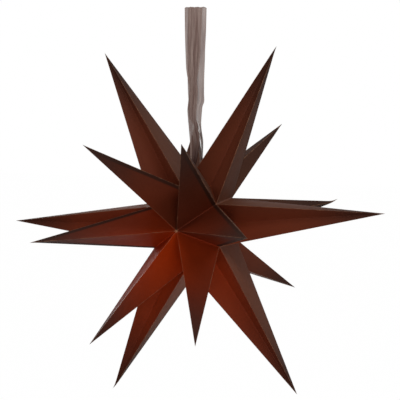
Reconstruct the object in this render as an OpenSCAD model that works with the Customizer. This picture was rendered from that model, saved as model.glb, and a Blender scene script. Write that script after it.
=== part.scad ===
// Hanging paper star with eighteen spikes, folded from card into six gores round one axis.
// Each gore has a front, a middle and a back spike. The axis runs along Y, the front is towards -Y.
// The origin is where the ribbon's loop hangs over its hook.

/* [Spikes] */
// Reach of the six middle spikes from the star's centre
middle_r = 300; // [250:1:360]
// Reach of the slanted front and back spikes, away from the axis
slant_r = 160; // [135:1:185]
// Reach of the slanted front and back spikes, along the axis
slant_y = 239.5; // [205:0.5:275]
// Distance of the two poles, where all the folds meet, from the centre
pole_y = 78; // [66:0.5:88]

/* [Valleys and creases] */
// Distance of the deep valleys between the gores from the axis
valley_r = 61; // [53:0.5:66]
// Half the length of the straight valley between two middle spikes
valley_y = 41.5; // [34:0.5:48]
// Distance of the creases' inner ends from the axis
crease_r = 66; // [58:0.5:78]
// Distance of the creases' inner ends from the star's middle plane
crease_y = 7; // [5:0.5:12]

/* [Gores] */
// Direction of the first gore, turned from +X towards +Z
first_gore = 5.9; // [2:0.1:10]
// Angle from the first gore to the second
pitch_1 = 58.9; // [56:0.1:62]
// Angle from the second gore to the third, drawn together across the closing seam
pitch_seam = 54.7; // [51:0.1:58]
// Angle from the third gore to the fourth
pitch_3 = 61.8; // [58:0.1:64]
// Angle from the fourth gore to the fifth
pitch_4 = 62; // [58:0.1:64]
// Angle from the fifth gore to the sixth
pitch_5 = 60; // [58:0.1:64]

/* [Card] */
// Thickness of the card
card_t = 0.5; // [0.3:0.05:0.8]

/* [Closing seam] */
// Gap between the two ends of the folded sheet
seam_gap = 1.6; // [1.4:0.1:2.4]
// Depth of the end flaps that stand inside the seam
flap_depth = 12; // [8:0.5:16]
// Space between an end flap's end and the end of its valley
flap_inset = 6; // [3:0.5:12]

/* [Ribbon] */
// Width of the ribbon where it lies open
ribbon_w = 28.4; // [22:0.1:32]
// Thickness of the ribbon
ribbon_t = 0.3; // [0.2:0.05:0.35]
// Width of each strand where it is gathered into the seam
gathered_w = 10; // [6:0.5:16]
// Height of the loop above the closing seam
loop_h = 270; // [200:1:400]
// Space between the two strands at the top of the loop
loop_gap = 3; // [2:0.1:6]
// Way the open ribbon faces, turned from +X towards +Y
ribbon_turn = 19.5; // [0:0.5:40]
// Diameter of the knot that holds the ribbon below the end flaps
knot_d = 12; // [8:0.5:16]
// Space between the knot and the end flaps
knot_clearance = 0.3; // [0.2:0.05:0.5]

/* [Hidden] */
card_colour = "saddlebrown";
ribbon_colour = "rosybrown";
gores = 6;
second_gore = first_gore + pitch_1;
third_gore = second_gore + pitch_seam;
fourth_gore = third_gore + pitch_3;
fifth_gore = fourth_gore + pitch_4;
gore_dirs = [first_gore, second_gore, third_gore, fourth_gore, fifth_gore, fifth_gore + pitch_5];
seam_dir = (second_gore + third_gore) / 2;
loop_top = valley_r * sin(seam_dir) + loop_h;
// Least share of the card's thickness that a facet keeps at a spike's narrow tip
tip_share = 0.7;
// Cutting room past a surface
spare = 10;

// A point at a distance from the axis, a place along it and a turn round it
function polar(r, y, turn) = [r * cos(turn), y, r * sin(turn)];

// Direction of the valley that follows a gore
function valley_dir(gore) =
    gore < gores - 1 ? (gore_dirs[gore] + gore_dirs[gore + 1]) / 2
    : (gore_dirs[gore] + gore_dirs[0] + 360) / 2;

// Seven corners of a gore: its three tips, the inner ends of its creases and the valley behind it
function gore_points(gore) = [
    polar(slant_r, -slant_y, gore_dirs[gore]),
    polar(crease_r, -crease_y, gore_dirs[gore]),
    polar(middle_r, 0, gore_dirs[gore]),
    polar(crease_r, crease_y, gore_dirs[gore]),
    polar(slant_r, slant_y, gore_dirs[gore]),
    polar(valley_r, -valley_y, valley_dir(gore)),
    polar(valley_r, valley_y, valley_dir(gore))
];
corners = 7;
front_pole = 0;
back_pole = 1;
skin_points = concat(
    [[0, -pole_y, 0], [0, pole_y, 0]],
    [for (gore = [0 : gores - 1]) each gore_points(gore)]
);

// Places of a gore's corners in the list of points
function front_tip(gore) = 2 + corners * gore;
function front_crease(gore) = 3 + corners * gore;
function middle_tip(gore) = 4 + corners * gore;
function back_crease(gore) = 5 + corners * gore;
function back_tip(gore) = 6 + corners * gore;
function front_valley(gore) = 7 + corners * gore;
function back_valley(gore) = 8 + corners * gore;

// Seven facets of half a gore, from the front pole to the back pole
function leaf(gore, valley) = [
    [front_pole, front_valley(valley), front_tip(gore)],
    [front_tip(gore), front_valley(valley), front_crease(gore)],
    [front_crease(gore), front_valley(valley), middle_tip(gore)],
    [middle_tip(gore), front_valley(valley), back_valley(valley)],
    [middle_tip(gore), back_valley(valley), back_crease(gore)],
    [back_crease(gore), back_valley(valley), back_tip(gore)],
    [back_tip(gore), back_valley(valley), back_pole]
];
function turned_over(facets) = [for (f = facets) [f[0], f[2], f[1]]];
skin_facets = [
    for (gore = [0 : gores - 1])
        each concat(leaf(gore, gore), turned_over(leaf(gore, (gore + gores - 1) % gores)))
];

// Unit vector out of a facet
function outward(facet) =
    let (n = cross(
        skin_points[facet[2]] - skin_points[facet[0]],
        skin_points[facet[1]] - skin_points[facet[0]]
    )) n / norm(n);
facet_normals = [for (f = skin_facets) outward(f)];

// Sum of a list of numbers or vectors
function total(list, i = 0) = i < len(list) - 1 ? list[i] + total(list, i + 1) : list[i];
function det3(a, b, c) = a * cross(b, c);

// Move that takes a corner inwards by a thickness behind all of its facets, as nearly as one point can
function inward_move(normals, thickness) =
    let (
        ax = total([for (n = normals) n * n[0]]),
        ay = total([for (n = normals) n * n[1]]),
        az = total([for (n = normals) n * n[2]]),
        b = -thickness * total(normals),
        d = det3(ax, ay, az),
        move = [det3(b, ay, az), det3(ax, b, az), det3(ax, ay, b)] / d,
        least = min([for (n = normals) -(n * move)])
    ) move * max(1, tip_share * thickness / least);

// Points of the skin taken inwards by a thickness
function inner_points(thickness) = [
    for (i = [0 : len(skin_points) - 1])
        let (own = [
            for (j = [0 : len(skin_facets) - 1])
                if (len(search(i, skin_facets[j])) > 0) facet_normals[j]
        ]) skin_points[i] + inward_move(own, thickness)
];

// Closed solid inside the star's outer skin
module outer_body() {
    polyhedron(skin_points, skin_facets);
}

// Empty space inside the card
module inner_space() {
    polyhedron(inner_points(card_t), skin_facets);
}

// Turns +Z to the direction of the closing seam
module at_seam() {
    rotate([0, 90 - seam_dir, 0])
        children();
}

// Two flaps along the straight valley, one on each end of the sheet
module end_flaps() {
    length = 2 * (valley_y - flap_inset);
    intersection() {
        outer_body();
        at_seam()
            for (side = [0, 1])
                mirror([side, 0, 0])
                    translate([seam_gap / 2, -length / 2, valley_r - flap_depth])
                        cube([card_t, length, flap_depth + spare]);
    }
}

// Gap between the two ends of the sheet, from pole to pole
module seam_cut() {
    at_seam()
        translate([-seam_gap / 2, -pole_y - spare, 0])
            cube([seam_gap, 2 * (pole_y + spare), valley_r + spare]);
}

module folded_star() {
    color(card_colour)
        translate([0, 0, -loop_top])
            difference() {
                union() {
                    difference() {
                        outer_body();
                        inner_space();
                    }
                    end_flaps();
                }
                seam_cut();
            }
}

// Route of the ribbon: share of the loop's height, side and depth, share of the open width, and turn
front_route = [
    [0.052, -3.0, 0.3, 0.34, 62],
    [0.115, -3.4, -0.6, 0.34, 36],
    [0.190, -3.6, -1.2, 0.36, 20],
    [0.256, -3.2, -1.5, 0.43, 0],
    [0.326, -1.9, -1.6, 0.53, 0],
    [0.426, -0.6, -1.6, 0.72, 0],
    [0.530, 0.8, -1.6, 0.77, 0],
    [0.700, -0.2, -1.6, 0.93, 0],
    [0.850, -0.7, -1.6, 0.98, 0]
];
back_route = [
    [0.850, 4.8, 1.6, 0.98, 0],
    [0.700, 3.1, 1.6, 0.91, 0],
    [0.530, 3.0, 1.6, 0.79, 0],
    [0.426, 1.2, 1.6, 0.75, 0],
    [0.326, 2.8, 1.6, 0.53, 0],
    [0.256, 3.7, 1.5, 0.41, 0],
    [0.190, 3.4, 1.3, 0.34, 20],
    [0.115, 1.9, 1.1, 0.32, 36],
    [0.052, -0.3, 0.9, 0.34, 62]
];
// Side of the open ribbon at the top, on the front and on the back strand
top_side = [-1, 5.4];
// Turns of the fold at the top of the loop
top_turns = [180, 150, 120, 90, 60, 30, 0];

// Station on the free stretch: centre, width and direction of the width
function free_station(row) = [
    [
        row[1] * cos(ribbon_turn) - row[2] * sin(ribbon_turn),
        row[1] * sin(ribbon_turn) + row[2] * cos(ribbon_turn),
        valley_r * sin(seam_dir) + row[0] * loop_h - loop_top
    ],
    row[3] * ribbon_w,
    ribbon_turn + row[4]
];
// Station on the fold over the hook, which is a half circle
function fold_station(turn) =
    let (
        r = (loop_gap + ribbon_t) / 2,
        side = top_side[1] + (top_side[0] - top_side[1]) * turn / 180,
        depth = r * cos(turn)
    ) [
        [
            side * cos(ribbon_turn) - depth * sin(ribbon_turn),
            side * sin(ribbon_turn) + depth * cos(ribbon_turn),
            r * sin(turn) - r + ribbon_t / 2
        ],
        ribbon_w,
        ribbon_turn
    ];
// Space between the two strands in the seam
strand_gap = (seam_gap - 2 * ribbon_t) / 3;
// Station in the seam, beside the other strand and as wide as it is gathered
function seam_station(r, side) = [
    polar(r, 0, seam_dir)
        + side * (ribbon_t / 2 + strand_gap / 2) * [sin(seam_dir), 0, -cos(seam_dir)]
        - [0, 0, loop_top],
    gathered_w,
    90
];
knot_r = valley_r - flap_depth - knot_clearance - knot_d / 2;
seam_depths = [knot_r, valley_r - flap_depth, valley_r];
stations = concat(
    [for (r = seam_depths) seam_station(r, -1)],
    [for (row = front_route) free_station(row)],
    [for (turn = top_turns) fold_station(turn)],
    [for (row = back_route) free_station(row)],
    [for (i = [len(seam_depths) - 1 : -1 : 0]) seam_station(seam_depths[i], 1)]
);
function way(i) =
    let (w = stations[min(i + 1, len(stations) - 1)][0] - stations[max(i - 1, 0)][0]) w / norm(w);
// Four corners of the ribbon's section at a station
function section(i) =
    let (
        s = stations[i],
        across = [cos(s[2]), sin(s[2]), 0] * s[1] / 2,
        n = cross([cos(s[2]), sin(s[2]), 0], way(i)),
        thick = n / norm(n) * ribbon_t / 2
    ) [s[0] - across - thick, s[0] + across - thick, s[0] + across + thick, s[0] - across + thick];

// Ribbon swept along its route
module ribbon_band() {
    last = len(stations) - 1;
    points = [for (i = [0 : last]) each section(i)];
    // Both faces of the ribbon are split along the same diagonal, so they stay parallel in a twist
    sides = [
        for (i = [0 : last - 1], k = [0 : 3])
            let (a = 4 * i + k, b = 4 * i + (k + 1) % 4)
                each k == 2 ? [[a, b, a + 4], [b, b + 4, a + 4]] : [[a, b, b + 4], [a, b + 4, a + 4]]
    ];
    polyhedron(points, concat(sides, [[3, 2, 1, 0], [for (k = [0 : 3]) 4 * last + k]]));
}

// Knot of the two ends, inside the star
module knot() {
    translate(polar(knot_r, 0, seam_dir) - [0, 0, loop_top])
        sphere(d = knot_d, $fn = 48);
}

module hanging_ribbon() {
    color(ribbon_colour)
        union() {
            ribbon_band();
            knot();
        }
}

folded_star();
hanging_ribbon();
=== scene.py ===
"""Looks of the hanging paper star: folded rust-brown card on a loop of sheer ribbon.

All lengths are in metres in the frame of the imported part: +Z up, front towards -Y, origin in the
inner top of the ribbon's loop. The star's corners and the ribbon's route repeat the driving sizes
of the part's source.
"""

import math

import bpy
import numpy as np
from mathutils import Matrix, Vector


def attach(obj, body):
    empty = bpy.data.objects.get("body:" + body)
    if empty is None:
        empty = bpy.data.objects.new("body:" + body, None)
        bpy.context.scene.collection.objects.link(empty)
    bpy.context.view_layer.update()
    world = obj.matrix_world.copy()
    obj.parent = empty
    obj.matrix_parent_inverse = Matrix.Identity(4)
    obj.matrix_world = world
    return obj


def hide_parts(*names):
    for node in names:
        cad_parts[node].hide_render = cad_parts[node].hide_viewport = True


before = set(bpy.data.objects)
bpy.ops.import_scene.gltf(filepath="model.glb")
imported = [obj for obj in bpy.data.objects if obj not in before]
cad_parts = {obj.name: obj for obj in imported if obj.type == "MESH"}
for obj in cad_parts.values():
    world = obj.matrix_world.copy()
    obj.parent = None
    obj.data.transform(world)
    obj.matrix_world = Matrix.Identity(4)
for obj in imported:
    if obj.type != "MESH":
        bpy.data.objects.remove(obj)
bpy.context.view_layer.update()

MM = 0.001

# Driving sizes of the star
MIDDLE_R = 300 * MM
SLANT_R, SLANT_Y = 160 * MM, 239.5 * MM
POLE_Y = 78 * MM
VALLEY_R, VALLEY_Y = 61 * MM, 41.5 * MM
CREASE_R, CREASE_Y = 66 * MM, 7 * MM
GORE_DIRS = np.radians(np.cumsum([5.9, 58.9, 54.7, 61.8, 62.0, 60.0]))
GORES = len(GORE_DIRS)
CARD_T = 0.5 * MM
SEAM_GORE = 1
SEAM_GAP = 1.6 * MM
FLAP_DEPTH, FLAP_INSET = 12 * MM, 6 * MM

# Driving sizes of the ribbon
RIBBON_W = 28.4 * MM
LOOP_H = 270 * MM
LOOP_GAP, RIBBON_T = 3 * MM, 0.3 * MM
RIBBON_TURN = math.radians(19.5)
KNOT_D = 12 * MM
KNOT_CLEARANCE = 0.3 * MM

SEAM_DIR = (GORE_DIRS[SEAM_GORE] + GORE_DIRS[SEAM_GORE + 1]) / 2
SEAM_HEIGHT = VALLEY_R * math.sin(SEAM_DIR)
SEAM_ACROSS = np.array([math.sin(SEAM_DIR), 0, -math.cos(SEAM_DIR)])
CENTRE = np.array([0, 0, -SEAM_HEIGHT - LOOP_H])

# The photograph's viewing angle, and how far the star's centre lies off the camera's line of sight
VIEW_AZIMUTH, VIEW_ELEVATION = math.radians(19.52), math.radians(6.77)
VIEW_DISTANCE, VIEW_RIGHT, VIEW_UP = 2.3728, 0.0089, 0.0374
LENS = 139.1


def srgb(red, green, blue):
    """Linear colour of 8-bit display values."""
    c = np.array([red, green, blue]) / 255
    return (*np.where(c < 0.04045, c / 12.92, ((c + 0.055) / 1.055) ** 2.4), 1.0)


# ---------------------------------------------------------------- camera


def place_camera():
    """Camera at the photograph's angle. Its line of sight passes the star's centre a little off."""
    a, e = VIEW_AZIMUTH, VIEW_ELEVATION
    right = Vector((math.cos(a), math.sin(a), 0))
    back = Vector((math.sin(a) * math.cos(e), -math.cos(a) * math.cos(e), math.sin(e)))
    data = bpy.data.cameras.new("camera")
    data.lens = LENS
    data.sensor_width = 36
    data.clip_start, data.clip_end = 0.05, 50
    camera = bpy.data.objects.new("camera", data)
    bpy.context.scene.collection.objects.link(camera)
    up = back.cross(right)
    camera.location = Vector(CENTRE) + back * VIEW_DISTANCE + right * VIEW_RIGHT + up * VIEW_UP
    camera.rotation_mode = "QUATERNION"
    camera.rotation_quaternion = (-back).to_track_quat("-Z", "Y")
    bpy.context.scene.camera = camera


# ---------------------------------------------------------------- shader maths


class Value:
    """A shader socket that takes part in Python's arithmetic through Math nodes."""

    def __init__(self, shader, socket):
        self.shader, self.socket = shader, socket

    def maths(self, operation, *others):
        sockets = dict(enumerate([self, *others]))
        return self.shader.node("ShaderNodeMath", {"operation": operation}, sockets)[0]

    def __add__(self, other):
        return self.maths("ADD", other)

    def __mul__(self, other):
        return self.maths("MULTIPLY", other)

    def __sub__(self, other):
        return self.maths("SUBTRACT", other)

    def __rsub__(self, other):
        return (self * -1) + other

    __radd__, __rmul__ = __add__, __mul__

    def between(self, low, high):
        """0 at low, 1 at high and smooth in between; high may be the smaller one."""
        settings = {"interpolation_type": "SMOOTHSTEP"}
        inputs = {"Value": self, "From Min": low, "From Max": high}
        return self.shader.node("ShaderNodeMapRange", settings, inputs)[0]


class Shader:
    """A material's or the world's node tree, built one node at a time."""

    def __init__(self, owner):
        owner.use_nodes = True
        self.tree = owner.node_tree
        self.tree.nodes.clear()

    def node(self, kind, settings=None, inputs=None):
        """Adds a node, sets it, then fills or links its sockets; returns its outputs as Values."""
        made = self.tree.nodes.new(kind)
        for name, value in (settings or {}).items():
            setattr(made, name, value)
        for name, value in (inputs or {}).items():
            if isinstance(value, Value):
                self.tree.links.new(value.socket, made.inputs[name])
            else:
                made.inputs[name].default_value = value
        return [Value(self, s) for s in made.outputs]

    def attribute(self, name):
        """A vertex attribute as a number."""
        return self.node("ShaderNodeAttribute", {"attribute_name": name})[2]

    def place(self):
        """Object coordinates, which are the part's own frame in metres."""
        return self.node("ShaderNodeTexCoord")[3]

    def noise(self, where, scale, detail=2.0, roughness=0.5):
        """Noise from about 0 to 1, with features of about 1 / scale metres."""
        inputs = {"Vector": where, "Scale": scale, "Detail": detail, "Roughness": roughness}
        return self.node("ShaderNodeTexNoise", {}, inputs)[0]

    def mix(self, factor, first, second):
        """Colour between two colours."""
        inputs = {0: factor, 6: first, 7: second}
        return self.node("ShaderNodeMix", {"data_type": "RGBA"}, inputs)[2]

    def output(self, surface, kind="ShaderNodeOutputMaterial"):
        self.node(kind, {}, {"Surface": surface})


def new_material(name):
    material = bpy.data.materials.new(name)
    return material, Shader(material)


# ---------------------------------------------------------------- meshes


def mesh_object(name, points, faces, material, attributes=None):
    """A smooth-shaded mesh from arrays, with its numbers per vertex as attributes."""
    mesh = bpy.data.meshes.new(name)
    mesh.from_pydata(points.tolist(), [], faces.tolist())
    mesh.polygons.foreach_set("use_smooth", np.ones(len(faces), bool))
    for key, values in (attributes or {}).items():
        layer = mesh.attributes.new(key, "FLOAT", "POINT")
        layer.data.foreach_set("value", np.asarray(values, np.float32))
    mesh.materials.append(material)
    mesh.update()
    made = bpy.data.objects.new(name, mesh)
    bpy.context.scene.collection.objects.link(made)
    return made


def vertex_normals(points, faces):
    """Mean of the normals of the faces round each vertex, weighted by their areas."""
    a, b, c = (points[faces[:, k]] for k in range(3))
    normals = np.cross(b - a, c - a)
    total = np.zeros_like(points)
    for k in range(3):
        np.add.at(total, faces[:, k], normals)
    return total / np.maximum(np.linalg.norm(total, axis=1, keepdims=True), 1e-12)


def closed_wall(points, faces, thickness):
    """Gives a sheet its thickness: each point again, moved inwards, and a rim along open edges."""
    count = len(points)
    inner = points - vertex_normals(points, faces) * thickness[:, None]
    sides = np.vstack([faces[:, [0, 1]], faces[:, [1, 2]], faces[:, [2, 0]]])
    forward, reverse = sides @ [count, 1], sides[:, ::-1] @ [count, 1]
    a, b = sides[~np.isin(forward, reverse)].T
    rim = np.vstack([np.stack([b, a, a + count], 1), np.stack([b, a + count, b + count], 1)])
    return np.vstack([points, inner]), np.vstack([faces, faces[:, ::-1] + count, rim])


# ---------------------------------------------------------------- the star's sheet

PANEL_ROWS = 24
# Draws a panel's rows towards its edges, so that folds stay narrow
PANEL_SPREAD = 1.5
# Share by which a fold's line is drawn towards the rows beside it, which rounds it
FOLD_SOFTNESS = 0.3
# Distance from a tip over which that softness grows from nothing
SOFT_FROM_TIP = 60 * MM

# Panels of half a gore from the front pole to the back pole. Each has three corners and, for the
# sides first-second, second-third and third-first, r for a ridge or v for a valley.
PANELS = [
    ("front pole", "front valley", "front tip", "vrr"),
    ("front tip", "front valley", "front crease", "rvr"),
    ("front crease", "front valley", "middle tip", "vrv"),
    ("middle tip", "front valley", "back valley", "rvr"),
    ("middle tip", "back valley", "back crease", "rvv"),
    ("back crease", "back valley", "back tip", "vrr"),
    ("back tip", "back valley", "back pole", "rvr"),
]
# Gores whose pleats are tucked behind the panels at the poles, where painted shade marks the
# doubled card
PLEATED = (0, 1, 2, 3)
# Turns round the axis at which the painted glow of light through the card is strongest, and at
# which the painted shade of the slanted spikes is least
GLOW_DIR, SHADE_FREE = math.radians(262), math.radians(160)
# Turn by which GLOW_DIR is less on the middle spikes
MIDDLE_TURN = math.radians(22)
# How far from the axis the painted glow reaches, and how far along it the slanted spikes take over
GLOW_REACH, SLANT_REACH = 100 * MM, 60 * MM
# Share of painted greyish sheen on each panel, in place of the painted glow, where no light from
# behind shines through it to the front: at the sides, and how much less below and more above
PANEL_PAINTED_SHEEN = [(0, 0), (1, 0), (0.22, 0.18), (0.95, 0.1), (0.5, 0), (0.9, 0.5), (0.3, 0)]
# How far the middle of each panel bows outwards
PANEL_BOW = np.array([-1.3, 0.5, -0.9, 0.8, -0.9, 0.5, -1.3]) * MM

# Length by which a creased tip runs out past the plain corner of the solids
TIP_SHARPNESS = 2 * MM
# Length of a tip over which the card's inner side closes up, and the share of thickness it keeps
TIP_CLOSE, TIP_THINNEST = 25 * MM, 0.04
# Rows of an end flap, and the number that its points get as distance to ridge, pleat and tip
FLAP_ROWS, FLAP_NEAR = 5, 10 * MM

# Small unevenness of the hand-folded corners: to the right in the photograph's view, and up, in mm
HAND_FOLD = {
    ("middle tip", 0): (-2.1, -1.7),
    ("middle tip", 1): (0.9, -0.3),
    ("middle tip", 2): (1.6, -2.0),
    ("middle tip", 3): (-1.2, -0.6),
    ("middle tip", 4): (0.3, 2.0),
    ("middle tip", 5): (0.2, -1.1),
    ("front tip", 0): (2.8, 1.8),
    ("front tip", 1): (-0.8, -1.2),
    ("front tip", 2): (0.1, -1.0),
    ("front tip", 3): (-0.3, 1.0),
    ("front tip", 4): (0.8, -0.7),
    ("front tip", 5): (-0.6, -1.2),
    ("back tip", 0): (1.2, -1.5),
    ("back tip", 1): (-0.3, -5.0),
    ("back tip", 2): (-2.0, 3.0),
    ("back tip", 5): (4.0, 1.4),
    ("front valley", 0): (0, 2.5),
    ("front valley", 3): (1.6, -0.9),
    ("back valley", 0): (-1.9, 3.0),
}
# Tips that have been knocked: length that bends, and where the tip goes to, right and up, in mm
BENT_TIPS = {
    ("back tip", 0): (17, 2.8, 4.0),
    ("middle tip", 4): (12, -1.6, -0.4),
    ("front tip", 3): (10, -1.2, -0.6),
    ("middle tip", 1): (16, 0.8, 0.5),
}


def polar(r, y, turn):
    """Points at a distance from the star's axis, a place along it and a turn round it."""
    r, y, turn = np.broadcast_arrays(r, y, turn)
    return CENTRE + np.stack([r * np.cos(turn), y, r * np.sin(turn)], -1)


def sideways(right, up):
    """A move to the right in the photograph's view and up, from millimetres."""
    return np.array([right * math.cos(VIEW_AZIMUTH), right * math.sin(VIEW_AZIMUTH), up]) * MM


def star_corners():
    """Every named corner of the folded sheet.

    The seam's valley has one for each end of the sheet.
    """
    next_dirs = np.append(GORE_DIRS[1:], GORE_DIRS[0] + 2 * np.pi)
    valley_dirs = (GORE_DIRS + next_dirs) / 2
    corners = {("front pole", 0): polar(0, -POLE_Y, 0), ("back pole", 0): polar(0, POLE_Y, 0)}
    for side, name in ((-1, "front"), (1, "back")):
        for gore in range(GORES):
            corners[name + " tip", gore] = polar(SLANT_R, side * SLANT_Y, GORE_DIRS[gore])
            corners[name + " crease", gore] = polar(CREASE_R, side * CREASE_Y, GORE_DIRS[gore])
            corners[name + " valley", gore] = polar(VALLEY_R, side * VALLEY_Y, valley_dirs[gore])
            corners["middle tip", gore] = polar(MIDDLE_R, 0, GORE_DIRS[gore])
    for key, place in corners.items():
        if "tip" in key[0]:
            out = place - CENTRE
            corners[key] = place + TIP_SHARPNESS * out / np.linalg.norm(out)
    for key, (right, up) in HAND_FOLD.items():
        corners[key] = corners[key] + sideways(right, up)
    across = SEAM_ACROSS * SEAM_GAP / 2
    for name in ("front valley", "back valley"):
        corners[name, "far end"] = corners[name, SEAM_GORE] - across
        corners[name, SEAM_GORE] = corners[name, SEAM_GORE] + across
    return corners


def panel_grid():
    """Grid of a three-cornered panel: whole steps towards each corner, and its small faces.

    Steps (i, j, k) add up to PANEL_ROWS. Two faces fill each cell, one at the hypotenuse.
    """
    n = PANEL_ROWS
    j, k = np.meshgrid(np.arange(n + 1), np.arange(n + 1), indexing="ij")
    keep = j + k <= n
    number = np.cumsum(keep).reshape(keep.shape) - 1
    j, k = j[keep], k[keep]
    steps = np.stack([n - j - k, j, k], 1)
    lower, upper = j + k < n, j + k < n - 1
    jl, kl, ju, ku = j[lower], k[lower], j[upper], k[upper]
    faces = np.vstack([
        np.stack([number[jl, kl], number[jl + 1, kl], number[jl, kl + 1]], 1),
        np.stack([number[ju + 1, ku], number[ju + 1, ku + 1], number[ju, ku + 1]], 1),
    ])
    return steps, faces


def panel_list():
    """Every panel as its corners' keys, sides, bow, share of painted sheen, and whether it is
    turned over.
    """
    rows = []
    for gore in range(GORES):
        for before in (False, True):
            valley = (gore - 1) % GORES if before else gore
            end = "far end" if before and valley == SEAM_GORE else valley
            for (a, b, c, sides), bow, painted_sheen in zip(PANELS, PANEL_BOW, PANEL_PAINTED_SHEEN):
                own = {"tip": gore, "crease": gore, "valley": end, "pole": 0}
                keys = [(name, own[name.split()[1]]) for name in (a, b, c)]
                uneven = 1 + 0.45 * math.sin(2.1 * gore + 1.3 * before + 900 * bow)
                below = math.cos(GORE_DIRS[gore] - GLOW_DIR)
                sheen_share = min(1, painted_sheen[0] - painted_sheen[1] * below)
                rows.append((keys, sides, bow * uneven, sheen_share, not before))
    return rows


def folded_sheet():
    """The star's outer skin: points, faces, numbers for each point, and the seam's two edges.

    The numbers are the point's distances to a ridge, a pleat and a tip, and its panel's painted
    sheen.
    A panel's point is the mean of its corners in proportion to steps ** PANEL_SPREAD, and its
    middle bows out by 27 times the product of the three shares. Points that two panels share have
    the same corners and steps, and become one.
    """
    corners = star_corners()
    names = list(corners)
    steps, grid_faces = panel_grid()
    shares = steps.astype(float) ** PANEL_SPREAD
    shares /= shares.sum(1, keepdims=True)
    bump = 27 * shares.prod(1, keepdims=True)
    points, codes, faces, ridge, pleat, painted_sheen = [], [], [], [], [], []
    for keys, sides, bow, sheen_share, turned in panel_list():
        p = np.array([corners[key] for key in keys])
        normal = np.cross(p[1] - p[0], p[2] - p[0]) * (-1 if turned else 1)
        twice_area = np.linalg.norm(normal)
        points.append(shares @ p + bump * bow * normal / twice_area)
        numbers = np.array([names.index(key) for key in keys])
        codes.append(np.sort(np.where(steps > 0, numbers * (PANEL_ROWS + 1) + steps + 1, 0), 1))
        faces.append((grid_faces[:, ::-1] if turned else grid_faces) + len(steps) * len(faces))
        # Height over each side, in the order first-second, second-third, third-first
        lengths = np.linalg.norm(p - np.roll(p, -1, 0), axis=1)
        heights = shares[:, [2, 0, 1]] * twice_area / lengths
        is_ridge = np.array([s == "r" for s in sides])
        ridge.append(heights[:, is_ridge].min(1))
        painted_sheen.append(np.full(len(steps), sheen_share))
        # Behind the outer side of a panel that starts at a pole, a pleat doubles the card, which
        # painted shade marks
        pole_side = [k for k in (0, 1, 2) if "pole" not in keys[k][0] + keys[(k + 1) % 3][0]]
        doubled = len(pole_side) == 1 and all(g in PLEATED for n, g in keys if "tip" in n)
        pleat.append(heights[:, pole_side[0]] if doubled else np.full(len(steps), 1.0))
    unique, first, back = np.unique(
        np.vstack(codes), axis=0, return_index=True, return_inverse=True
    )
    back = back.ravel()
    points, faces = np.vstack(points)[first], back[np.vstack(faces)]
    near = {}
    for key, values in (("ridge", ridge), ("pleat", pleat), ("painted_sheen", painted_sheen)):
        near[key] = np.full(len(unique), 1.0)
        np.minimum.at(near[key], back, np.concatenate(values))
    tips = {key: p for key, p in corners.items() if "tip" in key[0]}
    near["tip"] = np.min([np.linalg.norm(points - p, axis=1) for p in tips.values()], axis=0)
    soft = FOLD_SOFTNESS * (unique[:, 0] == 0) * np.clip(near["tip"] / SOFT_FROM_TIP, 0, 1)
    points = points + soft[:, None] * (neighbour_mean(points, faces) - points)
    for key, (length, right, up) in BENT_TIPS.items():
        share = np.clip(1 - np.linalg.norm(points - tips[key], axis=1) / (length * MM), 0, 1)
        points = points + share[:, None] ** 2 * sideways(right, up)
    return points, faces, near, seam_edges(names, unique)


def neighbour_mean(points, faces):
    """Mean of the points that share a side with each point."""
    total, count = np.zeros_like(points), np.zeros((len(points), 1))
    for a, b in ((0, 1), (1, 2), (2, 0)):
        for one, other in ((a, b), (b, a)):
            np.add.at(total, faces[:, one], points[faces[:, other]])
            np.add.at(count, faces[:, one], 1)
    return total / count


def seam_edges(names, codes):
    """Points of the two ends of the sheet along the straight valley, from front to back."""
    edges = []
    step = np.arange(1, PANEL_ROWS)
    for end in (SEAM_GORE, "far end"):
        front, back = (names.index((side + " valley", end)) for side in ("front", "back"))
        along = np.stack(
            [
                np.zeros_like(step),
                front * (PANEL_ROWS + 1) + PANEL_ROWS - step + 1,
                back * (PANEL_ROWS + 1) + step + 1,
            ],
            1,
        )
        along = np.sort(along, 1)
        match = (codes[None] == along[:, None]).all(2)
        edges.append(match.argmax(1))
    return edges


def with_flaps(points, faces, near, edges):
    """Adds the two end flaps, which turn in at the seam and narrow towards their lower ends.

    A flap's point is its edge's point, drawn towards the middle by up to FLAP_INSET and taken
    towards the axis by up to FLAP_DEPTH, in FLAP_ROWS rows.
    """
    inward = -np.array([math.cos(SEAM_DIR), 0, math.sin(SEAM_DIR)])
    for edge, turned in zip(edges, (True, False)):
        line = points[edge]
        middle = line[:, 1].mean()
        half = (line[:, 1] - middle) / abs(line[:, 1] - middle).max()
        down = np.linspace(0, 1, FLAP_ROWS + 1)[1:, None, None]
        flap = line + down * FLAP_DEPTH * inward
        flap[..., 1] -= (down[..., 0] ** 0.5) * FLAP_INSET * half
        count, columns = len(points), len(edge)
        rows = np.vstack([edge, count + np.arange(flap[..., 0].size).reshape(-1, columns)])
        a, b, c, d = rows[:-1, :-1], rows[:-1, 1:], rows[1:, 1:], rows[1:, :-1]
        added = np.vstack([
            np.stack([a.ravel(), b.ravel(), c.ravel()], 1),
            np.stack([a.ravel(), c.ravel(), d.ravel()], 1),
        ])
        points = np.vstack([points, flap.reshape(-1, 3)])
        faces = np.vstack([faces, added if turned else added[:, ::-1]])
        for key in near:
            near[key] = np.append(near[key], np.full(flap[..., 0].size, FLAP_NEAR))
    return points, faces, near


# Tones of the card: a painted glow, warmest in the hollows under the poles, stands in for light
# shining through it, and painted shade darkens it where its tucked pleats double it
DEEP_DARK, DEEP_LIGHT = (74, 31, 17), (83, 35, 20)
PAINTED_GLOW_DARK, PAINTED_GLOW_LIGHT = (166, 48, 2), (181, 55, 3)
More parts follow.
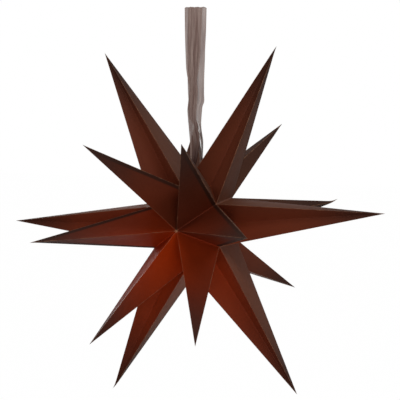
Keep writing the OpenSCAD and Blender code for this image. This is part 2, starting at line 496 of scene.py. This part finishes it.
# Painted greyish sheen, in place of the deep and the glowing tones
PAINTED_SHEEN_DEEP, PAINTED_SHEEN_GLOW = (76, 44, 30), (166, 102, 74)
# Painted shade on the slanted spikes
PAINTED_SHADE = (20, 8, 5)
# Painted shade where tucked pleats double the card, and towards the tips
PLEAT_SHADE, TIP_SHADE = (38, 20, 13), (50, 30, 23)
CARD_FIBRE = (122, 62, 38)
# Paler ridges: partly wear, partly a painted highlight
RIDGE_TAN = (150, 108, 82)
RIDGE_WIDTH = 1.1 * MM
WAVE_DEPTH, GRAIN_DEPTH = 1.2 * MM, 0.05 * MM


def card_material():
    """Matt rust-brown card with paper grain, faint mottling, a dull sheen and paler ridges that are
    partly wear and partly a painted highlight, with painted glow, sheen and shade in its base
    colour.
    """
    material, s = new_material("rust_card")
    where = s.place()
    cloud = s.noise(where, 11, 3)
    mottle = s.noise(where, 190, 3, 0.6)
    fibre = s.noise(where, 1400, 2, 0.6)
    tone = 0.72 * cloud + 0.28 * mottle
    deep = s.mix(tone.between(0.3, 0.7), srgb(*DEEP_DARK), srgb(*DEEP_LIGHT))
    # Warm tone of the painted glow, which stands in for light shining through the card
    glow_tone = s.mix(tone.between(0.3, 0.7), srgb(*PAINTED_GLOW_DARK), srgb(*PAINTED_GLOW_LIGHT))
    # Painted greyish sheen on panels that face away from the painted glow
    painted_sheen = s.attribute("painted_sheen")
    deep = s.mix(painted_sheen, deep, srgb(*PAINTED_SHEEN_DEEP))
    glow_tone = s.mix(painted_sheen, glow_tone, srgb(*PAINTED_SHEEN_GLOW))
    # Painted glow of light shining through the card, warmest in the hollows under the poles
    colour = s.mix(s.attribute("painted_glow"), deep, glow_tone)
    # Painted shade on the slanted spikes, darkest on the side away from SHADE_FREE
    colour = s.mix(s.attribute("painted_shade"), colour, srgb(*PAINTED_SHADE))
    colour = s.mix(fibre.between(0.35, 0.85) * 0.16, colour, srgb(*CARD_FIBRE))
    # Painted shade along the edges where tucked pleats double the card
    pleat = (s.attribute("pleat") + 1.5 * MM * (cloud - 0.5)).between(7 * MM, 4.5 * MM)
    colour = s.mix(pleat * 0.85, colour, srgb(*PLEAT_SHADE))
    # Painted shade, darker and greyer towards the tips
    tip = (s.attribute("tip") + 20 * MM * (cloud - 0.5)).between(150 * MM, 5 * MM)
    colour = s.mix(tip * 0.9, colour, srgb(*TIP_SHADE))
    # Paler ridges, partly wear and partly a painted highlight, and a worn spot at the poles
    rub = s.noise(where, 75, 3, 0.65)
    ridge = s.attribute("ridge").between(RIDGE_WIDTH, 0.2 * MM)
    pole = s.attribute("pole").between(4.5 * MM, 0.5 * MM)
    wear_and_highlight = ridge * (0.12 + 0.6 * rub.between(0.35, 0.7)) + 0.7 * pole
    colour = s.mix(wear_and_highlight, colour, srgb(*RIDGE_TAN))
    wave = s.noise(where, 26, 2)
    grain = s.noise(where, 800, 2, 0.65)
    relief = wave * WAVE_DEPTH + grain * GRAIN_DEPTH
    bump = s.node("ShaderNodeBump", {}, {"Strength": 1.0, "Distance": 1.0, "Height": relief})[0]
    shader = s.node("ShaderNodeBsdfPrincipled", {}, {
        "Base Color": colour,
        "Roughness": 0.62 - 0.12 * mottle,
        "Specular IOR Level": 0.1,
        "Normal": bump,
    })[0]
    s.output(shader)
    return material


def painted_glow(points):
    """Share of the painted glow, a warm tone that stands in for light shining through the card,
    from 0 to 1.

    It is the tone (1.12 - 0.34 s) (1 + (0.25 + 0.17 s) c) (1 + 2.4 (0.62 + 0.38 c) e), rescaled,
    where s grows from 0 on the middle spikes to 1 on the slanted ones, c is the cosine of the angle
    from GLOW_DIR, less MIDDLE_TURN on the middle spikes, and e = exp(-(r / GLOW_REACH)**2) with r
    the distance from the star's axis.
    """
    x, y, z = (points - CENTRE).T
    slant = 1 - np.exp(-((y / SLANT_REACH) ** 2))
    c = np.cos(np.arctan2(z, x) - GLOW_DIR + MIDDLE_TURN * (1 - slant))
    inner = np.exp(-(x**2 + z**2) / GLOW_REACH**2) * (0.62 + 0.38 * c)
    level = (1.12 - 0.34 * slant) * (1 + (0.25 + 0.17 * slant) * c) * (1 + 2.4 * inner)
    return np.clip((level - 0.6) / 3, -0.05, 1)


def painted_shade(points):
    """Share of painted shade on the slanted spikes, standing in for the light that their pleats
    keep from shining through.

    It is (0.2 - 0.2 cos(a - SHADE_FREE)) (1 - exp(-(y / SLANT_REACH)**2)), where a is the turn
    round the star's axis and y the place along it.
    """
    x, y, z = (points - CENTRE).T
    slant = 1 - np.exp(-((y / SLANT_REACH) ** 2))
    return (0.2 - 0.2 * np.cos(np.arctan2(z, x) - SHADE_FREE)) * slant


def star_piece():
    """The folded sheet with its end flaps and its thickness."""
    points, faces, near, edges = folded_sheet()
    points, faces, near = with_flaps(points, faces, near, edges)
    poles = polar(0, np.array([-POLE_Y, POLE_Y]), 0)
    near["pole"] = np.linalg.norm(points[:, None] - poles, axis=2).min(1)
    near["painted_glow"], near["painted_shade"] = painted_glow(points), painted_shade(points)
    thickness = CARD_T * np.clip(near["tip"] / TIP_CLOSE, TIP_THINNEST, 1)
    points, faces = closed_wall(points, faces, thickness)
    attributes = {key: np.tile(values, 2) for key, values in near.items()}
    star = mesh_object("star_card", points, faces, card_material(), attributes)
    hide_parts("folded_star")
    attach(star, "root")


# ---------------------------------------------------------------- the ribbon

# Tones of the ribbon; the last is painted shade where layers of it stack
RIBBON_DARK, RIBBON_LIGHT, RIBBON_LAYER_SHADE = (109, 83, 75), (142, 120, 111), (56, 27, 22)
# Opacity of one layer, and spacing of the threads
RIBBON_COVER = 0.87
THREAD = 0.5 * MM
KNOT_R = VALLEY_R - FLAP_DEPTH - KNOT_CLEARANCE - KNOT_D / 2
# Steps along and round the knot's tube, and half its width in the units of its formula
KNOT_GRID = (120, 20)
KNOT_REACH = 3.9

# Route of the two strands: share of the loop's height, side and depth in mm, share of the open
# width, turn in degrees, and more (1) or fewer (-1) layers of cloth than elsewhere
FRONT_ROUTE = [
    (0.052, -3.3, 0.3, 0.32, 62, 1),
    (0.115, -1.9, -0.6, 0.36, 38, 1),
    (0.190, 0.0, -1.2, 0.46, 14, 0.9),
    (0.256, 0.4, -1.5, 0.53, 0, 0.5),
    (0.326, -2.2, -1.6, 0.42, 0, 0.15),
    (0.375, -3.2, -1.6, 0.42, 0, 0),
    (0.426, -3.4, -1.6, 0.46, 0, 0),
    (0.470, -2.3, -1.6, 0.46, 0, 0),
    (0.530, -1.6, -1.6, 0.44, 0, 0),
    (0.600, -2.0, -1.6, 0.50, 0, 0),
    (0.693, -1.9, -1.6, 0.73, 0, 0),
    (0.850, -1.1, -1.6, 0.87, 0, 0),
    (0.970, -0.9, -1.6, 0.92, 0, 0),
    (0.988, -0.8, -1.6, 0.93, 0, 0),
]
BACK_ROUTE = [
    (0.988, 4.8, 1.6, 0.99, 0, 0),
    (0.970, 4.7, 1.6, 0.99, 0, 0),
    (0.850, 4.2, 1.6, 0.97, 0, 0),
    (0.693, 2.8, 1.6, 0.92, 0, 0),
    (0.530, 2.9, 1.6, 0.86, 0, 0),
    (0.474, 3.1, 1.6, 0.84, 0, 0),
    (0.440, 1.0, 1.6, 0.77, 0, 0),
    (0.375, 1.8, 1.8, 0.62, 8, -0.1),
    (0.326, 6.4, 2.6, 0.36, 30, -0.4),
    (0.270, 10.6, 5.0, 0.33, 72, -0.9),
    (0.230, 12.0, 7.0, 0.33, 76, -1),
    (0.160, 12.0, 12.5, 0.33, 74, -1),
    (0.100, 12.0, 19.0, 0.33, 77, -1),
    (0.045, 11.2, 28.5, 0.33, 75, -1),
]
# Side in mm and share of the open width at the front and back ends of the half turn
TOP_SIDE, TOP_SHARE = (-0.8, 4.8), (0.93, 0.99)
TOP_TURNS = np.radians([180, 150, 120, 90, 60, 30, 0])
# Share of the open width that is left in the seam
GATHERED = 10 * MM / RIBBON_W
# Steps from station to station, faces across the ribbon and pleats across it
ROWS_BETWEEN = 10
ACROSS = 72
PLEATS = 3
# How far a pleat folds over itself where the ribbon is fully gathered
PLEAT_OVER = 0.075


def strand_rows(route):
    """Stations of a strand: side, depth, height, width share, turn, freedom to ripple, layers."""
    share, side, depth, width, turn, layers = np.array(route).T
    height = SEAM_HEIGHT + share * LOOP_H + CENTRE[2]
    free = np.clip((share / 0.33) ** 2, 0.12, 1)
    return np.stack([side * MM, depth * MM, height, width, np.radians(turn), free, layers], 1)


def seam_rows(side, places):
    """Stations of a strand pressed flat in the seam, from the knot up to the valley.

    places are their distances in mm behind the star's middle.
    """
    r = np.array([KNOT_R, VALLEY_R - FLAP_DEPTH, VALLEY_R])
    offset = side * (RIBBON_T / 2 + (SEAM_GAP - 2 * RIBBON_T) / 6)
    p = polar(r, np.array(places) * MM, SEAM_DIR) + offset * SEAM_ACROSS
    along = p[:, 0] * math.cos(RIBBON_TURN) + p[:, 1] * math.sin(RIBBON_TURN)
    deep = p[:, 1] * math.cos(RIBBON_TURN) - p[:, 0] * math.sin(RIBBON_TURN)
    one = np.ones(3)
    turn = (math.pi / 2 - RIBBON_TURN) * one
    return np.stack([along, deep, p[:, 2], GATHERED * one, turn, 0.12 * one, 0 * one], 1)


def top_rows():
    """Stations of the half turn over the hook."""
    r = (LOOP_GAP + RIBBON_T) / 2
    part = TOP_TURNS / math.pi
    side = (TOP_SIDE[1] + (TOP_SIDE[0] - TOP_SIDE[1]) * part) * MM
    width = TOP_SHARE[1] + (TOP_SHARE[0] - TOP_SHARE[1]) * part
    height = r * np.sin(TOP_TURNS) - r + RIBBON_T / 2
    depth = r * np.cos(TOP_TURNS)
    return np.stack([side, depth, height, width, 0 * part, 0.15 + 0 * part, 0 * part], 1)


def smooth_rows(rows, steps):
    """Catmull-Rom curve through a table's rows, with a number of steps from row to row."""
    p = np.vstack([2 * rows[0] - rows[1], rows, 2 * rows[-1] - rows[-2]])
    a, b, c, d = (p[k : len(p) - 3 + k, None] for k in range(4))
    t = np.arange(steps)[None, :, None] / steps
    curve = b + t * (c - a) / 2 + t**2 * (a - 2.5 * b + 2 * c - d / 2)
    curve = curve + t**3 * (1.5 * (b - c) + (d - a) / 2)
    return np.vstack([curve.reshape(-1, rows.shape[1]), rows[-1:]])


def pleated_section(width, free, phase):
    """Section of the ribbon at each station, across and out, with its flat width kept.

    Across is width * (t + over * sin(4 pi n t)), which folds over itself where the ribbon is
    gathered, and out is a sum of two sines of t whose height is found by halving, so that the
    section is as long as the flat ribbon is wide. Where the ribbon is pressed, it stays lower.
    """
    t = np.linspace(-0.5, 0.5, ACROSS + 1)[None]
    over = PLEAT_OVER * np.clip((1 - width / RIBBON_W) / 0.6, 0, 1)
    across = width * (t + over * np.sin(4 * np.pi * PLEATS * t + 2 * phase))
    shape = np.sin(2 * np.pi * PLEATS * t + phase)
    shape = shape + 0.4 * np.sin(2 * np.pi * (2 * PLEATS + 1) * t - 1.7 * phase + 0.6)
    low, high = np.zeros_like(width), np.full_like(width, 8 * MM)
    for _ in range(24):
        height = (low + high) / 2
        steps = np.diff(across, axis=1) ** 2 + np.diff(height * shape, axis=1) ** 2
        short = np.sqrt(steps).sum(1, keepdims=True) < RIBBON_W
        low, high = np.where(short, height, low), np.where(short, high, height)
    height = np.minimum(height, free * 2.2 * MM)
    return across, height * shape


def ribbon_surface():
    """Points of the whole ribbon as a grid, from the knot over the hook and back to the knot.

    A station's point is its centre, plus the section's across along the width and its out along
    the normal to width and route.
    """
    stations = np.vstack([
        seam_rows(-1, (0, 0, 0)),
        strand_rows(FRONT_ROUTE),
        top_rows(),
        strand_rows(BACK_ROUTE),
        seam_rows(1, (0, 17, 34))[::-1],
    ])
    rows = smooth_rows(stations, ROWS_BETWEEN)
    side, depth, height, share, turn, free, layers = (rows[:, [k]] for k in range(7))
    c, s = math.cos(RIBBON_TURN), math.sin(RIBBON_TURN)
    centre = np.hstack([side * c - depth * s, side * s + depth * c, height])
    width_dir = np.hstack([np.cos(turn + RIBBON_TURN), np.sin(turn + RIBBON_TURN), 0 * turn])
    way = np.gradient(centre, axis=0)
    out = np.cross(width_dir, way)
    out /= np.linalg.norm(out, axis=1, keepdims=True)
    walked = np.cumsum(np.linalg.norm(way, axis=1))[:, None]
    phase = 1.1 * np.sin(walked / 0.055) + 0.7 * np.sin(walked / 0.021 + 1)
    across, lift = pleated_section(share * RIBBON_W, free, phase)
    points = centre[:, None] + across[..., None] * width_dir[:, None]
    points = points + lift[..., None] * out[:, None]
    return points, walked, layers + 0 * across


def grid_faces(rows, columns, round_it=False):
    """Two faces for each cell of a grid of points; round_it joins both pairs of opposite sides."""
    number = np.arange(rows * columns).reshape(rows, columns)
    if round_it:
        number = np.pad(number, ((0, 1), (0, 1)), mode="wrap")
    a, b, c, d = number[:-1, :-1], number[:-1, 1:], number[1:, 1:], number[1:, :-1]
    return np.stack([a.ravel(), b.ravel(), c.ravel(), d.ravel()], 1)


def ribbon_material():
    """Sheer grey-brown organza: fine threads along and across, denser at the selvedges, with
    streaks that are partly its own and partly painted shade of its folds, and painted shade where
    it lies doubled.
    """
    material, s = new_material("sheer_ribbon")
    uv = s.node("ShaderNodeUVMap", {"uv_map": "flat"})[0]
    x, y, _ = s.node("ShaderNodeSeparateXYZ", {}, {"Vector": uv})[:3]
    threads = (x * (2 * math.pi / THREAD)).maths("SINE") * 0.5
    threads = threads + (y * (2 * math.pi / THREAD)).maths("SINE") * 0.5
    streak_place = s.node("ShaderNodeMapping", {}, {"Vector": uv, "Scale": (1, 0.06, 1)})[0]
    streak = s.noise(streak_place, 420, 3, 0.6)
    crease_place = s.node("ShaderNodeMapping", {}, {"Vector": uv, "Scale": (1, 0.12, 1)})[0]
    crease = s.noise(crease_place, 130, 1)
    hem = x.between(RIBBON_W - 1.2 * MM, RIBBON_W - 0.7 * MM) + x.between(1.2 * MM, 0.7 * MM)
    # Lengthwise streaks, partly the cloth's own and partly painted shade of its folds
    streak_and_fold_shade = (0.5 * streak + 0.5 * crease).between(0.35, 0.65)
    colour = s.mix(streak_and_fold_shade, srgb(*RIBBON_DARK), srgb(*RIBBON_LIGHT))
    layers = s.attribute("layers")
    # Where the cloth lies doubled, in a band across part of its width: painted shade in the colour,
    # and more opacity
    doubled = layers.maths("MAXIMUM", 0) * x.between(0.2 * RIBBON_W, 0.4 * RIBBON_W)
    colour = s.mix(doubled * 0.85, colour, srgb(*RIBBON_LAYER_SHADE))
    alpha = RIBBON_COVER + 0.03 * threads + 0.12 * (streak - 0.5) - 0.12 * (crease - 0.5)
    alpha = alpha + 0.06 * hem + 0.4 * layers.maths("MINIMUM", 0) + 0.12 * doubled
    height = threads * 0.03 * MM
    bump = s.node("ShaderNodeBump", {}, {"Strength": 0.6, "Distance": 1.0, "Height": height})[0]
    shader = s.node("ShaderNodeBsdfPrincipled", {}, {
        "Base Color": colour,
        "Roughness": 0.5,
        "Specular IOR Level": 0.25,
        "Alpha": alpha,
        "Normal": bump,
    })[0]
    s.output(shader)
    return material


def knot_surface():
    """Overhand knot of the gathered ends, as a tube round a closed trefoil.

    The line is ((2 + cos 3u) cos 2u, (2 + cos 3u) sin 2u, sin 3u), and the tube's round section is
    flattened and rippled a little.
    """
    turns = [np.linspace(0, 2 * np.pi, n, endpoint=False) for n in KNOT_GRID]
    u, v = np.meshgrid(*turns, indexing="ij")
    reach = 2 + np.cos(3 * u)
    line = np.stack([reach * np.cos(2 * u), reach * np.sin(2 * u), np.sin(3 * u)], -1)
    way = np.roll(line, -1, 0) - np.roll(line, 1, 0)
    way /= np.linalg.norm(way, axis=-1, keepdims=True)
    side = np.cross(way, [0.0, 0.0, 1.0])
    side /= np.linalg.norm(side, axis=-1, keepdims=True)
    other = np.cross(side, way)
    thick = 0.8 + 0.06 * np.sin(5 * v) + 0.05 * np.sin(7 * u + 2 * v)
    tube = line + (thick * np.cos(v))[..., None] * side
    tube = tube + (0.85 * thick * np.sin(v))[..., None] * other
    return tube * KNOT_D / 2 / KNOT_REACH


def ribbon_pieces():
    """The ribbon's loop and the knot of its two ends."""
    points, walked, layers = ribbon_surface()
    rows, columns = points.shape[:2]
    material = ribbon_material()
    faces = grid_faces(rows, columns)
    attributes = {"layers": layers.ravel()}
    ribbon = mesh_object("ribbon_loop", points.reshape(-1, 3), faces, material, attributes)
    flat = np.stack(np.broadcast_arrays(np.linspace(0, RIBBON_W, columns)[None], walked), -1)
    layer = ribbon.data.uv_layers.new(name="flat")
    layer.data.foreach_set("uv", flat.reshape(-1, 2)[faces.ravel()].ravel().astype(np.float32))
    tube = knot_surface() + polar(KNOT_R, 0, SEAM_DIR)
    knot_faces = grid_faces(*tube.shape[:2], round_it=True)
    knot = mesh_object("ribbon_knot", tube.reshape(-1, 3), knot_faces, knot_material())
    for piece in (ribbon, knot):
        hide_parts("hanging_ribbon")
        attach(piece, "root")


def knot_material():
    """The same organza drawn tight, so that it no longer shows through."""
    material, s = new_material("knotted_ribbon")
    where = s.place()
    strand = s.noise(where, 900, 3, 0.6)
    colour = s.mix(strand.between(0.3, 0.7), srgb(*RIBBON_DARK), srgb(*RIBBON_LIGHT))
    bump = s.node("ShaderNodeBump", {}, {"Distance": 1.0, "Height": strand * 0.2 * MM})[0]
    inputs = {"Base Color": colour, "Roughness": 0.55, "Normal": bump}
    s.output(s.node("ShaderNodeBsdfPrincipled", {}, inputs)[0])
    return material


# ---------------------------------------------------------------- stage

# Soft lamps: place as seen from the star (right, towards the viewer, up), size and power
LAMPS = {
    "front": ((0.0, 2.2, 0.0), 1.4, 22.5),
    "left": ((-2.0, 0.9, 0.0), 1.4, 1.2),
    "upper_left": ((-1.3, 1.3, 1.3), 1.4, 9.6),
    "upper_right": ((1.6, 0.6, 1.8), 1.6, 11.0),
    "above": ((0.3, 0.6, 0.7), 0.5, 1.9),
    "back_left": ((-2.2, -1.9, 0.2), 1.6, 25.0),
    "behind": ((-0.3, -2.8, -0.5), 1.4, 16.0),
}
# Strength of the surround as a lamp, and of surround and floor as mirrored by the object
WORLD_LIGHT, MIRRORED, FLOOR_MIRRORED = 0.08, 0.46, 0.25
FLOOR_Z, FLOOR_HALF = -1.6, 12.0
# Share of the floor that the camera sees as plain white, and how strongly that white glows
FLOOR_WHITE, FLOOR_GLOW = 0.97, 1.025


def ray_shares(s):
    """1 for what the camera sees directly or through something clear, and 1 for what mirrors."""
    names = {v.socket.name: v for v in s.node("ShaderNodeLightPath")}
    seen = names["Is Camera Ray"].maths("MAXIMUM", names["Is Transmission Ray"])
    return seen, names["Is Glossy Ray"] * (1 - seen)


def light_stage():
    """Plain pale floor, soft lamps and a white surround."""
    scene = bpy.context.scene
    world = bpy.data.worlds.new("surround")
    scene.world = world
    s = Shader(world)
    seen, mirrored = ray_shares(s)
    strength = WORLD_LIGHT + seen * (1 - WORLD_LIGHT) + mirrored * (MIRRORED - WORLD_LIGHT)
    inputs = {"Color": (1, 1, 1, 1), "Strength": strength}
    s.output(s.node("ShaderNodeBackground", {}, inputs)[0], "ShaderNodeOutputWorld")
    material, s = new_material("pale_floor")
    speck = s.noise(s.place(), 60, 2)
    paint = s.mix(speck, (0.8, 0.8, 0.8, 1), (0.84, 0.84, 0.84, 1))
    dull = s.node("ShaderNodeBsdfDiffuse", {}, {"Color": paint})[0]
    white = s.node("ShaderNodeEmission", {}, {"Color": (1, 1, 1, 1), "Strength": FLOOR_GLOW})[0]
    seen, mirrored = ray_shares(s)
    factor = seen * FLOOR_WHITE + mirrored * FLOOR_MIRRORED
    s.output(s.node("ShaderNodeMixShader", {}, {0: factor, 1: dull, 2: white})[0])
    around = [(-1, -1), (1, -1), (1, 1), (-1, 1)]
    corners = np.array([[x * FLOOR_HALF, y * FLOOR_HALF, FLOOR_Z] for x, y in around])
    mesh_object("floor", corners, np.array([[0, 1, 2, 3]]), material)
    a = VIEW_AZIMUTH
    right = np.array([math.cos(a), math.sin(a), 0])
    towards = np.array([math.sin(a), -math.cos(a), 0])
    for name, (place, size, power) in LAMPS.items():
        data = bpy.data.lights.new(name, "AREA")
        data.shape, data.size, data.energy = "DISK", size, power
        lamp = bpy.data.objects.new(name, data)
        scene.collection.objects.link(lamp)
        spot = CENTRE + place[0] * right + place[1] * towards + np.array([0, 0, place[2]])
        lamp.location = spot
        lamp.rotation_mode = "QUATERNION"
        lamp.rotation_quaternion = Vector(CENTRE - spot).to_track_quat("-Z", "Y")
    scene.view_settings.view_transform = "Standard"


place_camera()
star_piece()
ribbon_pieces()
light_stage()
